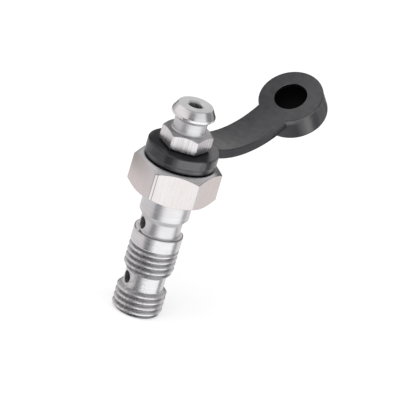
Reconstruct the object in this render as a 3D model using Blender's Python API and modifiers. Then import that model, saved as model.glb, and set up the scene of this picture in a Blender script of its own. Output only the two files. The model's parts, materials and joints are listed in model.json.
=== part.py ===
"""Double banjo bolt with a bleed screw in its head and a rubber dust cap on a strap.

The bolt stands on its threaded tip with its axis upright. The strap leads away along +X.
Lengths are in metres.
"""

import math

import bmesh
import bpy
from mathutils import Matrix, Vector

# Banjo bolt: stretches from the tip upwards, M10x1.25 thread.
THREAD_RADIUS = 0.0050
THREAD_PITCH = 0.00125
THREAD_DEPTH = 0.00075
THREAD_CREST = 0.00016
THREAD_FLANK_ANGLE = math.radians(30)
LOWER_THREAD_START = 0.00028
UPPER_THREAD_START = 0.00083
TIP_CHAMFER = 0.0007
LOWER_THREAD_LENGTH = 0.0050
GROOVE_RADIUS = 0.00408
GROOVE_RUN_OUT = 0.0005
GROOVE_LENGTH = 0.0031
GROOVE_TAPER = 0.0011
UPPER_THREAD_LENGTH = 0.0049
LAND_LENGTH = 0.0032
LAND_EDGE = 0.00012
NECK_RADIUS = 0.0042
NECK_LENGTH = 0.0029
NECK_TAPER = 0.0011
SHANK_RADIUS = 0.00505
SHANK_LENGTH = 0.0046

# Hexagon head of the bolt.
HEAD_ACROSS_FLATS = 0.0157
HEAD_HEIGHT = 0.0069
HEAD_CHAMFER_SET_IN = 0.00015
HEAD_CORNER_ANGLE = math.radians(11.5)
HEX_CHAMFER_ANGLE = math.radians(30)

# Drillings of the bolt.
CROSS_HOLE_RADIUS = 0.0012
CROSS_HOLE_ANGLE = math.radians(-22.5)
BOLT_BORE_RADIUS = 0.00175
BORE_MOUTH_CHAMFER = 0.0003
DRILL_POINT_SLOPE = math.radians(31)
SEAT_ABOVE_NECK = 0.0006
SOCKET_MOUTH_CHAMFER = 0.0004

# Bleed screw, M7 thread, seated on a right-angled cone.
SCREW_THREAD_RADIUS = 0.0035
SCREW_CLEARANCE = 0.0003
SCREW_TIP_RADIUS = 0.0012
SCREW_RELIEF_DEPTH = 0.0005
SCREW_RELIEF_LENGTH = 0.0028
SCREW_HOLE_RADIUS = 0.0008
SCREW_BORE_RADIUS = 0.00135
SCREW_BORE_COUNTERSINK = 0.0004
SCREW_STAND_OFF = 0.0039
SCREW_ACROSS_FLATS = 0.0091
SCREW_HEX_HEIGHT = 0.0032
SCREW_HEX_SET_IN = 0.0001
SCREW_CORNER_ANGLE = math.radians(7)

# Hose nipple at the top of the bleed screw.
NIPPLE_NECK_RADIUS = 0.00335
NIPPLE_NECK_FILLET = 0.0006
NIPPLE_NECK_HEIGHT = 0.0026
BARB_RADIUS = 0.00445
BARB_UNDERCUT = 0.0008
BARB_BAND = 0.0005
BARB_CONE_HEIGHT = 0.0017
NIPPLE_TOP_RADIUS = 0.0035
NIPPLE_EDGE = 0.00015

# Rubber dust cap: ring, strap and cap.
RUBBER_CLEARANCE = 0.0003
RING_RADIUS = 0.0073
RING_HEIGHT = 0.0033
RING_LOWER_ROUND = 0.0011
RING_UPPER_ROUND = 0.00025
STRAP_WIDTH = 0.0075
STRAP_THICKNESS = 0.0021
STRAP_BELOW_RING_TOP = 0.00006
STRAP_BELOW_CAP_TOP = 0.00006
STRAP_BEND_RADIUS = 0.0233
STRAP_ROOT_ANGLE = math.radians(-14)
STRAP_END_ANGLE = math.radians(34)
STRAP_EDGE_ROUND = 0.0003
STRAP_INSET = 0.0012
CAP_RADIUS = 0.00655
CAP_BASE_RADIUS = 0.00675
CAP_LOWER_ROUND = 0.0005
CAP_UPPER_ROUND = 0.0002
CAP_MOUTH_RADIUS = 0.00327
CAP_LIP = 0.0010
CAP_FLOOR = 0.0011
CAP_POCKET_GROWTH = 0.00005

# Fineness of the round shapes.
ROUND_STEPS = 80
SMALL_STEPS = 56
THREAD_STEPS = 60
ARC_STEPS = 3
STRAP_STEPS = 16
CUT_PAST = 0.001
MERGE_DISTANCE = 0.00001

# Heights that follow from the sizes above.
GROOVE_BOTTOM = LOWER_THREAD_LENGTH + GROOVE_RUN_OUT
GROOVE_TOP = GROOVE_BOTTOM + GROOVE_LENGTH
UPPER_THREAD_BOTTOM = GROOVE_TOP + GROOVE_TAPER
LAND_BOTTOM = UPPER_THREAD_BOTTOM + UPPER_THREAD_LENGTH
NECK_BOTTOM = LAND_BOTTOM + LAND_LENGTH
NECK_TOP = NECK_BOTTOM + NECK_LENGTH
SHANK_BOTTOM = NECK_TOP + NECK_TAPER
HEAD_BOTTOM = SHANK_BOTTOM + SHANK_LENGTH
HEAD_TOP = HEAD_BOTTOM + HEAD_HEIGHT
SEAT_BOTTOM = NECK_TOP + SEAT_ABOVE_NECK
SCREW_HEX_BOTTOM = HEAD_TOP + SCREW_STAND_OFF
SCREW_HEX_TOP = SCREW_HEX_BOTTOM + SCREW_HEX_HEIGHT
BARB_BOTTOM = SCREW_HEX_TOP + NIPPLE_NECK_HEIGHT
BARB_EDGE = BARB_BOTTOM + BARB_UNDERCUT
NIPPLE_TOP = BARB_EDGE + BARB_BAND + BARB_CONE_HEIGHT
RING_BOTTOM = HEAD_TOP + RUBBER_CLEARANCE
RING_TOP = RING_BOTTOM + RING_HEIGHT
CAP_POCKET_DEPTH = CAP_LIP + BARB_UNDERCUT + BARB_BAND + BARB_CONE_HEIGHT + CAP_POCKET_GROWTH
CAP_HEIGHT = CAP_POCKET_DEPTH + CAP_FLOOR


def clear_scene():
    for old in list(bpy.data.objects):
        bpy.data.objects.remove(old, do_unlink=True)
    for old in list(bpy.data.meshes):
        bpy.data.meshes.remove(old)


def new_collection(name):
    collection = bpy.data.collections.new(name)
    bpy.context.scene.collection.children.link(collection)
    return collection


def new_material(name, colour, metallic, roughness):
    material = bpy.data.materials.new(name)
    material.use_nodes = True
    shader = material.node_tree.nodes["Principled BSDF"]
    shader.inputs["Base Color"].default_value = (*colour, 1.0)
    shader.inputs["Metallic"].default_value = metallic
    shader.inputs["Roughness"].default_value = roughness
    return material


def arc(centre_r, centre_z, radius, start, end, steps=ARC_STEPS):
    """Points of a rounded corner in a turned profile, from one angle to another."""
    turn = (end - start) / steps
    angles = [start + turn * k for k in range(steps + 1)]
    return [(centre_r + radius * math.cos(a), centre_z + radius * math.sin(a)) for a in angles]


def new_object(name, mesh, collection):
    obj = bpy.data.objects.new(name, mesh)
    collection.objects.link(obj)
    return obj


def turned(name, profile, collection, steps=ROUND_STEPS):
    """A solid of revolution. The profile runs from the axis at the top, down its outside, to the axis."""
    shape = bmesh.new()
    points = [shape.verts.new((r, 0, z)) for r, z in profile]
    for upper, lower in zip(points, points[1:]):
        shape.edges.new((upper, lower))
    mesh = bpy.data.meshes.new(name)
    shape.to_mesh(mesh)
    shape.free()
    obj = new_object(name, mesh, collection)
    screw = obj.modifiers.new("turning", "SCREW")
    screw.axis = "Z"
    screw.steps = steps
    screw.render_steps = steps
    screw.use_merge_vertices = True
    screw.merge_threshold = MERGE_DISTANCE
    screw.use_smooth_shade = True
    return obj


def hexagon(name, across_flats, bottom, top, corner_angle, collection):
    """A hexagon bar, left over length at both ends, with one corner at the given angle from +X."""
    shape = bmesh.new()
    bmesh.ops.create_cone(
        shape,
        cap_ends=True,
        segments=6,
        radius1=across_flats / math.sqrt(3),
        radius2=across_flats / math.sqrt(3),
        depth=top - bottom + 2 * CUT_PAST,
        matrix=Matrix.Translation((0, 0, (top + bottom) / 2)),
    )
    first = max(shape.verts, key=lambda v: v.co.x)
    now = math.atan2(first.co.y, first.co.x)
    bmesh.ops.rotate(shape, verts=shape.verts, matrix=Matrix.Rotation(corner_angle - now, 3, "Z"))
    mesh = bpy.data.meshes.new(name)
    shape.to_mesh(mesh)
    shape.free()
    return new_object(name, mesh, collection)


def cross_drill(name, radius, height, reach, angle, collection):
    """A cutter through the axis at one height, along a line at the given angle from +X."""
    shape = bmesh.new()
    lay_down = Matrix.Rotation(angle, 4, "Z") @ Matrix.Rotation(math.pi / 2, 4, "Y")
    bmesh.ops.create_cone(
        shape,
        cap_ends=True,
        segments=SMALL_STEPS // 2,
        radius1=radius,
        radius2=radius,
        depth=2 * reach,
        matrix=Matrix.Translation((0, 0, height)) @ lay_down,
    )
    mesh = bpy.data.meshes.new(name)
    shape.to_mesh(mesh)
    shape.free()
    return new_object(name, mesh, collection)


def combine(obj, other, operation):
    """Joins, cuts or trims one object by another, which becomes a hidden helper."""
    modifier = obj.modifiers.new(operation.lower() + " " + other.name, "BOOLEAN")
    modifier.operation = operation
    modifier.solver = "EXACT"
    modifier.object = other
    other.hide_render = True
    other.display_type = "WIRE"


def hex_turning(across_flats, set_in, bottom, top, chamfer_below):
    """The turned outline that a hexagon bar is trimmed to, chamfered at its top and, if asked, below."""
    face = across_flats / 2 - set_in
    outside = across_flats / math.sqrt(3) + CUT_PAST
    drop = (outside - face) * math.tan(HEX_CHAMFER_ANGLE)
    profile = [(0, top), (face, top), (outside, top - drop)]
    if chamfer_below:
        profile += [(outside, bottom + drop), (face, bottom), (0, bottom)]
    else:
        profile += [(outside, bottom), (0, bottom)]
    return profile


def bar_radius(height):
    """Radius of the bar before its threads are cut: tip chamfer, and a taper to each side of the groove."""
    chamfered = THREAD_RADIUS - max(TIP_CHAMFER - height, 0)
    step = THREAD_RADIUS - GROOVE_RADIUS
    above_lower = (height - LOWER_THREAD_LENGTH) / GROOVE_RUN_OUT
    below_upper = (UPPER_THREAD_BOTTOM - height) / GROOVE_TAPER
    sunk = min(max(above_lower, 0), max(below_upper, 0), 1)
    return chamfered - step * sunk


def thread_cut(along):
    """Depth of the thread's cut at a distance along the bar from the middle of a crest."""
    from_crest = abs((along + THREAD_PITCH / 2) % THREAD_PITCH - THREAD_PITCH / 2)
    down_flank = (from_crest - THREAD_CREST / 2) / math.tan(THREAD_FLANK_ANGLE)
    return min(max(down_flank, 0), THREAD_DEPTH)


def thread_rows(lead, bottom, top, run_out):
    """Points of a right-hand thread from its top down, on a line where its crests stand a lead higher.

    Each pitch has four rows, at the edges of its crest and of its root. Those that would pass an
    end of the stretch stay there. Over the run-out at the top the cut gets shallower.
    """
    half_crest = THREAD_CREST / 2
    root_edge = half_crest + THREAD_DEPTH * math.tan(THREAD_FLANK_ANGLE)
    rows = []
    for lap in range(math.ceil((top - bottom) / THREAD_PITCH), -3, -1):
        crest = bottom + lead + lap * THREAD_PITCH
        for offset in (THREAD_PITCH - half_crest, THREAD_PITCH - root_edge, root_edge, half_crest):
            height = min(max(crest + offset, bottom), top)
            cut = thread_cut(height - crest)
            if run_out > 0:
                cut *= min((top - height) / run_out, 1)
            rows.append((min(bar_radius(height), THREAD_RADIUS - cut), height))
    return rows


def bolt_line(lead):
    """Outside of the bolt below its head, from the middle of the head down to the tip, on one line."""
    middle = (HEAD_BOTTOM + HEAD_TOP) / 2
    return [
        (0, middle),
        (SHANK_RADIUS, middle),
        (SHANK_RADIUS, SHANK_BOTTOM),
        (NECK_RADIUS, NECK_TOP),
        (NECK_RADIUS, NECK_BOTTOM),
        (THREAD_RADIUS - LAND_EDGE, NECK_BOTTOM),
        (THREAD_RADIUS, NECK_BOTTOM - LAND_EDGE),
        *thread_rows(lead + UPPER_THREAD_START, GROOVE_TOP, LAND_BOTTOM, THREAD_PITCH),
        *thread_rows(lead + LOWER_THREAD_START, 0, GROOVE_BOTTOM, 0),
        (0, 0),
    ]


def threaded_bar(name, collection):
    """The bolt's body, lofted through lines round its axis, because a thread differs from line to line.

    After a whole turn the last line meets the first, with each crest one pitch up in the list of rows.
    """
    shape = bmesh.new()
    lines = []
    for step in range(THREAD_STEPS + 1):
        angle = 2 * math.pi * (step % THREAD_STEPS) / THREAD_STEPS
        points = bolt_line(THREAD_PITCH * step / THREAD_STEPS)
        across, deep = math.cos(angle), math.sin(angle)
        lines.append([shape.verts.new((r * across, r * deep, z)) for r, z in points])
    for line, following in zip(lines, lines[1:]):
        for row in range(len(line) - 1):
            shape.faces.new((line[row], line[row + 1], following[row + 1], following[row]))
    bmesh.ops.remove_doubles(shape, verts=shape.verts, dist=MERGE_DISTANCE)
    bmesh.ops.recalc_face_normals(shape, faces=shape.faces)
    mesh = bpy.data.meshes.new(name)
    shape.to_mesh(mesh)
    shape.free()
    return new_object(name, mesh, collection)


def bolt_bore_profile():
    """The bolt's hollow: bore from the tip, right-angled seat, and the bleed screw's socket."""
    seat_rise = SCREW_THREAD_RADIUS - BOLT_BORE_RADIUS
    mouth = BOLT_BORE_RADIUS + BORE_MOUTH_CHAMFER
    socket_mouth = SCREW_THREAD_RADIUS + SOCKET_MOUTH_CHAMFER
    return [
        (0, HEAD_TOP + CUT_PAST),
        (socket_mouth, HEAD_TOP + CUT_PAST),
        (socket_mouth, HEAD_TOP),
        (SCREW_THREAD_RADIUS, HEAD_TOP - SOCKET_MOUTH_CHAMFER),
        (SCREW_THREAD_RADIUS, SEAT_BOTTOM + seat_rise),
        (BOLT_BORE_RADIUS, SEAT_BOTTOM),
        (BOLT_BORE_RADIUS, BORE_MOUTH_CHAMFER),
        (mouth, 0),
        (mouth, -CUT_PAST),
        (0, -CUT_PAST),
    ]


def make_banjo_bolt(parts, helpers, steel):
    bolt = threaded_bar("banjo_bolt", parts)
    bolt.data.materials.append(steel)
    head = hexagon("head_bar", HEAD_ACROSS_FLATS, HEAD_BOTTOM, HEAD_TOP, HEAD_CORNER_ANGLE, helpers)
    outline = hex_turning(HEAD_ACROSS_FLATS, HEAD_CHAMFER_SET_IN, HEAD_BOTTOM, HEAD_TOP, True)
    combine(head, turned("head_turning", outline, helpers), "INTERSECT")
    combine(bolt, head, "UNION")
    combine(bolt, turned("bolt_bore", bolt_bore_profile(), helpers, SMALL_STEPS), "DIFFERENCE")
    groove_middle = (GROOVE_BOTTOM + GROOVE_TOP) / 2
    neck_middle = (NECK_BOTTOM + NECK_TOP) / 2
    for name, height in (("groove_hole", groove_middle), ("neck_hole", neck_middle)):
        reach = THREAD_RADIUS + CUT_PAST
        drill = cross_drill(name, CROSS_HOLE_RADIUS, height, reach, CROSS_HOLE_ANGLE, helpers)
        combine(bolt, drill, "DIFFERENCE")
    return bolt


def screw_profile():
    """Outside of the bleed screw, from the nipple's top down to the seat cone, without its hexagon."""
    shank = SCREW_THREAD_RADIUS - SCREW_CLEARANCE
    relief = shank - SCREW_RELIEF_DEPTH
    cone_shift = SCREW_CLEARANCE * math.sqrt(2)
    # The cone runs beside the seat: its radius grows as fast as its height.
    cone_start = SEAT_BOTTOM + cone_shift - BOLT_BORE_RADIUS
    relief_bottom = cone_start + relief
    relief_top = relief_bottom + SCREW_RELIEF_LENGTH
    fillet_centre = NIPPLE_NECK_RADIUS + NIPPLE_NECK_FILLET
    fillet_height = SCREW_HEX_TOP + NIPPLE_NECK_FILLET
    fillet = arc(fillet_centre, fillet_height, NIPPLE_NECK_FILLET, math.pi, 1.5 * math.pi)
    return [
        (0, NIPPLE_TOP),
        (NIPPLE_TOP_RADIUS - NIPPLE_EDGE, NIPPLE_TOP),
        (NIPPLE_TOP_RADIUS, NIPPLE_TOP - NIPPLE_EDGE),
        (BARB_RADIUS, BARB_EDGE + BARB_BAND),
        (BARB_RADIUS, BARB_EDGE),
        (NIPPLE_NECK_RADIUS, BARB_BOTTOM),
        *fillet,
        (fillet_centre, SCREW_HEX_TOP - SCREW_HEX_HEIGHT / 2),
        (shank, SCREW_HEX_TOP - SCREW_HEX_HEIGHT / 2),
        (shank, relief_top + SCREW_RELIEF_DEPTH),
        (relief, relief_top),
        (relief, relief_bottom),
        (SCREW_TIP_RADIUS, cone_start + SCREW_TIP_RADIUS),
        (0, cone_start + SCREW_TIP_RADIUS),
    ]


def screw_hole_height():
    """Middle of the relief above the seat cone, where the small cross hole is drilled."""
    shank = SCREW_THREAD_RADIUS - SCREW_CLEARANCE
    cone_start = SEAT_BOTTOM + SCREW_CLEARANCE * math.sqrt(2) - BOLT_BORE_RADIUS
    return cone_start + shank - SCREW_RELIEF_DEPTH + SCREW_RELIEF_LENGTH / 2


def screw_bore_profile():
    """The bleed screw's blind bore, down to just past its cross hole, with a drill point."""
    depth = screw_hole_height() - SCREW_HOLE_RADIUS / 2
    mouth = SCREW_BORE_RADIUS + SCREW_BORE_COUNTERSINK
    return [
        (0, NIPPLE_TOP + CUT_PAST),
        (mouth, NIPPLE_TOP + CUT_PAST),
        (mouth, NIPPLE_TOP),
        (SCREW_BORE_RADIUS, NIPPLE_TOP - SCREW_BORE_COUNTERSINK),
        (SCREW_BORE_RADIUS, depth),
        (0, depth - SCREW_BORE_RADIUS * math.tan(DRILL_POINT_SLOPE)),
    ]


def make_bleed_screw(parts, helpers, steel):
    screw = turned("bleed_screw", screw_profile(), parts, SMALL_STEPS)
    screw.data.materials.append(steel)
    bottom, top = SCREW_HEX_BOTTOM, SCREW_HEX_TOP
    nut = hexagon("screw_bar", SCREW_ACROSS_FLATS, bottom, top, SCREW_CORNER_ANGLE, helpers)
    outline = hex_turning(SCREW_ACROSS_FLATS, SCREW_HEX_SET_IN, bottom, top, False)
    combine(nut, turned("screw_turning", outline, helpers, SMALL_STEPS), "INTERSECT")
    combine(screw, nut, "UNION")
    combine(screw, turned("screw_bore", screw_bore_profile(), helpers, SMALL_STEPS // 2), "DIFFERENCE")
    reach = SCREW_THREAD_RADIUS + CUT_PAST
    drill = cross_drill("screw_hole", SCREW_HOLE_RADIUS, screw_hole_height(), reach, 0, helpers)
    combine(screw, drill, "DIFFERENCE")
    return screw


def disc_profile(upper_radius, lower_radius, bottom, top, lower_round, upper_round):
    """A rubber disc with rounded edges, which may be wider at its base."""
    upper = arc(upper_radius - upper_round, top - upper_round, upper_round, math.pi / 2, 0)
    lower = arc(lower_radius - lower_round, bottom + lower_round, lower_round, 0, -math.pi / 2)
    return [(0, top), *upper, *lower, (0, bottom)]


def strap_path():
    """Points along the strap's upper face as (x, z, slope), from inside the ring to inside the cap."""
    start_x = math.sqrt(RING_RADIUS**2 - (STRAP_WIDTH / 2) ** 2)
    start_z = RING_TOP - STRAP_BELOW_RING_TOP
    path = [(start_x - STRAP_INSET, start_z, 0)]
    turn = STRAP_END_ANGLE - STRAP_ROOT_ANGLE
    for k in range(STRAP_STEPS + 1):
        slope = STRAP_ROOT_ANGLE + turn * k / STRAP_STEPS
        x = start_x + STRAP_BEND_RADIUS * (math.sin(slope) - math.sin(STRAP_ROOT_ANGLE))
        z = start_z + STRAP_BEND_RADIUS * (math.cos(STRAP_ROOT_ANGLE) - math.cos(slope))
        path.append((x, z, slope))
    x, z, slope = path[-1]
    path.append((x + STRAP_INSET * math.cos(slope), z + STRAP_INSET * math.sin(slope), slope))
    return path


def cap_centre():
    """Middle of the cap's mouth face, which carries on the strap's upper face."""
    x, z, slope = strap_path()[-2]
    along = Vector((math.cos(slope), 0, math.sin(slope)))
    out = Vector((-math.sin(slope), 0, math.cos(slope)))
    reach = math.sqrt(CAP_RADIUS**2 - (STRAP_WIDTH / 2) ** 2)
    return Vector((x, 0, z)) + along * reach + out * STRAP_BELOW_CAP_TOP


def cap_pocket_profile():
    """The cap's hollow, measured down from its mouth: it follows the nipple's neck, barb and cone."""
    pocket = BARB_RADIUS + CAP_POCKET_GROWTH
    below_lip = -CAP_LIP
    barb_edge = below_lip - BARB_UNDERCUT
    cone_start = barb_edge - BARB_BAND
    floor = CAP_FLOOR - CAP_HEIGHT
    return [
        (0, CUT_PAST),
        (CAP_MOUTH_RADIUS, CUT_PAST),
        (CAP_MOUTH_RADIUS, below_lip),
        (pocket, barb_edge),
        (pocket, cone_start),
        (NIPPLE_TOP_RADIUS + CAP_POCKET_GROWTH, floor),
        (0, floor),
    ]


def make_strap(helpers):
    """A strip along the strap's path, given its thickness downwards and rounded edges."""
    shape = bmesh.new()
    rows = []
    for x, z, _ in strap_path():
        rows.append([shape.verts.new((x, side * STRAP_WIDTH / 2, z)) for side in (-1, 1)])
    for (near, far), (next_near, next_far) in zip(rows, rows[1:]):
        shape.faces.new((near, next_near, next_far, far))
    mesh = bpy.data.meshes.new("strap")
    shape.to_mesh(mesh)
    shape.free()
    strap = new_object("strap", mesh, helpers)
    thicken = strap.modifiers.new("thickness", "SOLIDIFY")
    thicken.thickness = STRAP_THICKNESS
    thicken.offset = -1
    thicken.use_even_offset = True
    rounding = strap.modifiers.new("rounded edges", "BEVEL")
    rounding.width = STRAP_EDGE_ROUND
    rounding.segments = 2
    rounding.limit_method = "ANGLE"
    rounding.angle_limit = math.radians(60)
    return strap


def make_dust_cap(parts, helpers, rubber):
    edges = RING_LOWER_ROUND, RING_UPPER_ROUND
    ring_outline = disc_profile(RING_RADIUS, RING_RADIUS, RING_BOTTOM, RING_TOP, *edges)
    dust_cap = turned("dust_cap", ring_outline, parts)
    dust_cap.data.materials.append(rubber)
    combine(dust_cap, make_strap(helpers), "UNION")
    edges = CAP_LOWER_ROUND, CAP_UPPER_ROUND
    cap_outline = disc_profile(CAP_RADIUS, CAP_BASE_RADIUS, -CAP_HEIGHT, 0, *edges)
    cap = turned("cap", cap_outline, helpers)
    pocket = turned("cap_pocket", cap_pocket_profile(), helpers, SMALL_STEPS)
    for piece in (cap, pocket):
        piece.location = cap_centre()
        piece.rotation_euler.y = -STRAP_END_ANGLE
    combine(dust_cap, cap, "UNION")
    hole_radius = SCREW_THREAD_RADIUS + RUBBER_CLEARANCE
    hole_top = RING_TOP + CUT_PAST
    hole_bottom = RING_BOTTOM - CUT_PAST
    hole_outline = [(0, hole_top), (hole_radius, hole_top), (hole_radius, hole_bottom), (0, hole_bottom)]
    combine(dust_cap, turned("ring_hole", hole_outline, helpers, SMALL_STEPS), "DIFFERENCE")
    combine(dust_cap, pocket, "DIFFERENCE")
    return dust_cap


def footprint_middle():
    """Middle of the object's reach along X, measured from the bolt's axis."""
    corners = [HEAD_CORNER_ANGLE + k * math.pi / 3 for k in range(6)]
    head_reach = HEAD_ACROSS_FLATS / math.sqrt(3) * min(math.cos(a) for a in corners)
    straight = (CAP_BASE_RADIUS - CAP_LOWER_ROUND) * math.cos(STRAP_END_ANGLE)
    sunk = (CAP_HEIGHT - CAP_LOWER_ROUND) * math.sin(STRAP_END_ANGLE)
    cap_reach = cap_centre().x + straight + sunk + CAP_LOWER_ROUND
    return (head_reach + cap_reach) / 2


def place_on_axis(collections):
    """Stands everything on one empty at the bolt's axis, with the footprint's middle at the origin."""
    axis = bpy.data.objects.new("bolt_axis", None)
    bpy.context.scene.collection.objects.link(axis)
    axis.location.x = -footprint_middle()
    for collection in collections:
        for obj in collection.objects:
            obj.parent = axis


def shade(obj):
    """Smooth shading on the turned and bent faces, with crisp machined edges."""
    obj.data.shade_smooth()
    smooth = obj.modifiers.new("weighted normals", "WEIGHTED_NORMAL")
    smooth.keep_sharp = True


def main():
    clear_scene()
    parts = new_collection("banjo_bleed_bolt")
    helpers = new_collection("helpers")
    steel = new_material("stainless_steel", (0.62, 0.60, 0.59), 1.0, 0.28)
    rubber = new_material("black_rubber", (0.045, 0.045, 0.047), 0.0, 0.5)
    for obj in (
        make_banjo_bolt(parts, helpers, steel),
        make_bleed_screw(parts, helpers, steel),
        make_dust_cap(parts, helpers, rubber),
    ):
        shade(obj)
    place_on_axis((parts, helpers))


main()
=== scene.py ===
"""Looks of a double banjo bolt with a bleed screw in its head and a rubber dust cap.

The three pieces are made again with what a close look needs: cut threads, broken edges, tool marks
and a seamless rubber moulding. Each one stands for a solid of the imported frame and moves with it.
Lengths are in metres, and every piece is modelled round the bolt's own axis.
"""

import json
import math

import bmesh
import bpy
from bpy.props import FloatProperty, FloatVectorProperty, IntProperty, PointerProperty
from bpy.types import Operator, Panel, PropertyGroup
from mathutils import Matrix, Vector


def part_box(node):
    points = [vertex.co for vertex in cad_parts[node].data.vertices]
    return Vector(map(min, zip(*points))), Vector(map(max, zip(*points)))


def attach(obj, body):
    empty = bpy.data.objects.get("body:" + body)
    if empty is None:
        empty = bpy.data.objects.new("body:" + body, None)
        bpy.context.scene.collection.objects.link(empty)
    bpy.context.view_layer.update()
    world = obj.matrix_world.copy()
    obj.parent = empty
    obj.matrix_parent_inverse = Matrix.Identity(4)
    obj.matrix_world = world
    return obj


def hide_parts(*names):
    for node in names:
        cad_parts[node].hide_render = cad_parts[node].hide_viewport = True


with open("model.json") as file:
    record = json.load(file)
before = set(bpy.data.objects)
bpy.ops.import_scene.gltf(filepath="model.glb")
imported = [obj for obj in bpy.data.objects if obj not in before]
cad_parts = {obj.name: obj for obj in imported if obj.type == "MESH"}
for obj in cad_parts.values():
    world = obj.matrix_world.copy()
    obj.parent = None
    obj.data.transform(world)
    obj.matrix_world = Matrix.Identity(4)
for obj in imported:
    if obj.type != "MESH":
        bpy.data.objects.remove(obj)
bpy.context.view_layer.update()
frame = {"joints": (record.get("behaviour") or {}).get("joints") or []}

bl_info = {
    "name": "Banjo Bleed Bolt",
    "version": (1, 0, 0),
    "blender": (4, 5, 0),
    "location": "View3D > Sidebar > Bolt",
    "description": "Builds a banjo bolt with its bleed screw and rubber dust cap, and a studio for it",
    "category": "Object",
}

# The frame gives the bolt's axis and the ends of each piece.
AXIS_X = frame["joints"][0]["pos_m"][0]
HEAD_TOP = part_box("banjo_bolt")[1].z
NIPPLE_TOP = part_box("bleed_screw")[1].z
RING_HEIGHT = 0.0033
RING_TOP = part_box("dust_cap")[0].z + RING_HEIGHT

# Bolt, heights from its tip.
THREAD_RADIUS = 0.0050
TIP_CHAMFER = 0.0007
LOWER_THREAD_TOP = 0.0050
GROOVE_RADIUS = 0.00408
GROOVE_BOTTOM = 0.0055
GROOVE_TOP = 0.0086
UPPER_THREAD_BOTTOM = 0.0097
LOWER_THREAD_PHASE = 0.224
UPPER_THREAD_PHASE = 0.664
THREAD_RUNOUT_SHARE = 0.3
LAND_BOTTOM = 0.0146
NECK_BOTTOM = 0.0178
NECK_RADIUS = 0.0042
NECK_TOP = 0.0207
SHANK_BOTTOM = 0.0218
SHANK_RADIUS = 0.00505
HEAD_BOTTOM = HEAD_TOP - 0.0069
HEAD_CORNER_ANGLE = math.radians(11.5)
HEAD_CORNER_ROUND = 0.00018
HEAD_FACE_INSET = 0.00015
HEX_CHAMFER_SLOPE = math.tan(math.radians(30))
CROWN_RADIUS = 0.00732
CROWN_TOP = HEAD_TOP + 0.00022
CROSS_HOLE_RADIUS = 0.0012
CROSS_HOLE_ANGLE = math.radians(-22.5)
BOLT_BORE_RADIUS = 0.00175
BOLT_BORE_CHAMFER = 0.0003
SEAT_BOTTOM = NECK_TOP + 0.0006
SOCKET_RADIUS = 0.0035
SOCKET_CHAMFER = 0.0004

# Bleed screw.
SCREW_SHANK_RADIUS = 0.0032
SCREW_RELIEF_RADIUS = 0.0027
SCREW_RELIEF_LENGTH = 0.0028
SCREW_TIP_RADIUS = 0.0012
SCREW_CLEARANCE = 0.0003
SCREW_CONE_START = SEAT_BOTTOM + SCREW_CLEARANCE * math.sqrt(2) - BOLT_BORE_RADIUS
SCREW_HEX_BOTTOM = HEAD_TOP + 0.0039
SCREW_HEX_TOP = SCREW_HEX_BOTTOM + 0.0032
SCREW_CORNER_ANGLE = math.radians(7)
SCREW_CORNER_ROUND = 0.00012
SCREW_FACE_INSET = 0.0001
SCREW_UNDERCUT = 0.0004
SCREW_UNDERCUT_LENGTH = 0.0012
SCREW_THREAD_DEPTH_SHARE = 0.55
SCREW_BORE_RADIUS = 0.00135
SCREW_BORE_CHAMFER = 0.0004
SCREW_HOLE_RADIUS = 0.0008
NIPPLE_NECK_RADIUS = 0.00335
BARB_BOTTOM = SCREW_HEX_TOP + 0.0026
BARB_EDGE = BARB_BOTTOM + 0.0008
BARB_CONE_START = BARB_EDGE + 0.0005
BARB_RADIUS = 0.00445
NIPPLE_TOP_RADIUS = 0.0035

# Dust cap.
RING_RADIUS = 0.0073
RING_BOTTOM = CROWN_TOP + 0.000015
RING_HOLE_RADIUS = 0.0038
STRAP_WIDTH = 0.0075
STRAP_THICKNESS = 0.0021
STRAP_LIFT = 0.00006
STRAP_BEND_RADIUS = 0.0233
STRAP_ROOT_ANGLE = math.radians(-14)
STRAP_END_ANGLE = math.radians(34)
CAP_RADIUS = 0.00655
CAP_BASE_RADIUS = 0.00675
CAP_MOUTH_RADIUS = 0.00327
CAP_LIP = 0.0010
CAP_FLOOR = 0.0011
CAP_POCKET_GROWTH = 0.00005

MERGE_DISTANCE = 0.000001
CUT_PAST = 0.001
HOLE_EDGE_BREAK = 0.00012
DRILL_POINT_SLOPE = math.tan(math.radians(31))

# Sides of the pieces that carry marks or painted shade, as directions round the axis.
LINED_FLAT_ANGLE = HEAD_CORNER_ANGLE + math.radians(210)
SHADED_CORNER_ANGLE = LINED_FLAT_ANGLE - 1.3
SPECKED_SIDE = math.radians(-171)
SCREW_SHADE_SIDE = math.radians(127)
HANDLED_SIDE = math.radians(-194)
SHADED_STRIP_SIDE = math.radians(-95.5)

# Where the ring's top is less matt and has less painted shade: a direction, the distances at which that
# begins and is full, a share.
PALE_RING_SIDES = (
    ((0.6875, -0.7264, 0), 0.0042, 0.0062, 1.0),
    ((-1, 0.05, 0), 0.0054, 0.0066, 0.55),
)

# Noises of the finishes, in cells per metre along X, Y and Z.
RING_MARKS = (260, 260, 5200)
FINE_RING_MARKS = (500, 500, 16000)
DRAWN_STREAKS = (4600, 4600, 90)
STEEL_PATCHES = (420, 420, 300)
THREAD_SPECKS = (2600, 2600, 2600)
RUBBER_CLOUDS = (260, 260, 260)
RUBBER_SMEARS = (330, 330, 700)
RUBBER_BLOTCHES = (800, 800, 800)
RUBBER_GRAIN = (5200, 5200, 5200)

RUBBER_BUMP = 0.0000025
# Painted shade inside the cap's pocket.
POCKET_SHADE_COLOUR = (0.008, 0.008, 0.008)


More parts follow.
